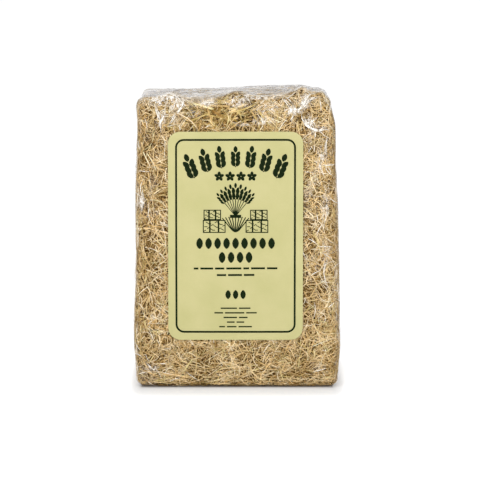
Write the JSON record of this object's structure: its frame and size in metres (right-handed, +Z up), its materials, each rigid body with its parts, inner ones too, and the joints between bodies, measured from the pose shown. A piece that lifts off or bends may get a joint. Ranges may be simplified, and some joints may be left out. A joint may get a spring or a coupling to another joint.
{
  "type": "film-wrapped straw bale",
  "caption": "Small pressed bale of chopped straw in a clear film bag, standing on end, with a paper label on the front.",
  "frame": {"origin": "middle of the bounding box at the base, on the surface the bale stands on", "axes": "+Z up along the bale's height, -Y out of the front with the label, +X to the right as seen from the front"},
  "size_m": [0.2812, 0.1988, 0.3966],
  "materials": {
    "straw": "pressed chopped straw, dull with waxy glints",
    "film": "clear thin film, creased",
    "label": "pale yellow-green paper, satin"
  },
  "bodies": {
    "root": {"straw_block": "straw", "film_bag": "film", "label": "label"}
  },
  "joints": []
}
